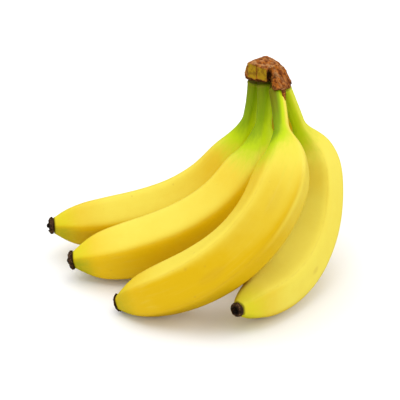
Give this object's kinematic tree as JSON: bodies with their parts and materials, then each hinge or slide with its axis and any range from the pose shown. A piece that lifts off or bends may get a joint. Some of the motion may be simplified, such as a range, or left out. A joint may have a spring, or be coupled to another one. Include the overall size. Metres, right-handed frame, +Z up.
{
  "type": "bunch of bananas",
  "caption": "Bunch of ripe yellow bananas fanned out from one torn brown crown, resting crown up on the fruits' lower sides.",
  "frame": {"origin": "centre of the bounding box's base, on the surface that the bunch rests on", "axes": "+Z up towards the crown, +X along the longest extent, with the blossom ends towards -X, and -Y towards the viewer"},
  "size_m": [0.202, 0.1652, 0.1437],
  "materials": {
    "peel": "smooth waxy fruit peel, yellow, green at the stalk and tip, soft satin sheen",
    "crown_bark": "rough torn plant fibre, orange brown, with two fresh cut faces in olive yellow",
    "dried_end": "dried dark brown blossom end, rough and matte"
  },
  "bodies": {
    "root": {"crown": "crown_bark", "banana_1": "peel", "banana_2": "peel", "banana_3": "peel", "banana_4": "peel", "banana_5": "peel", "blossom_end_1": "dried_end", "blossom_end_2": "dried_end", "blossom_end_3": "dried_end", "blossom_end_4": "dried_end", "blossom_end_5": "dried_end"}
  },
  "joints": []
}
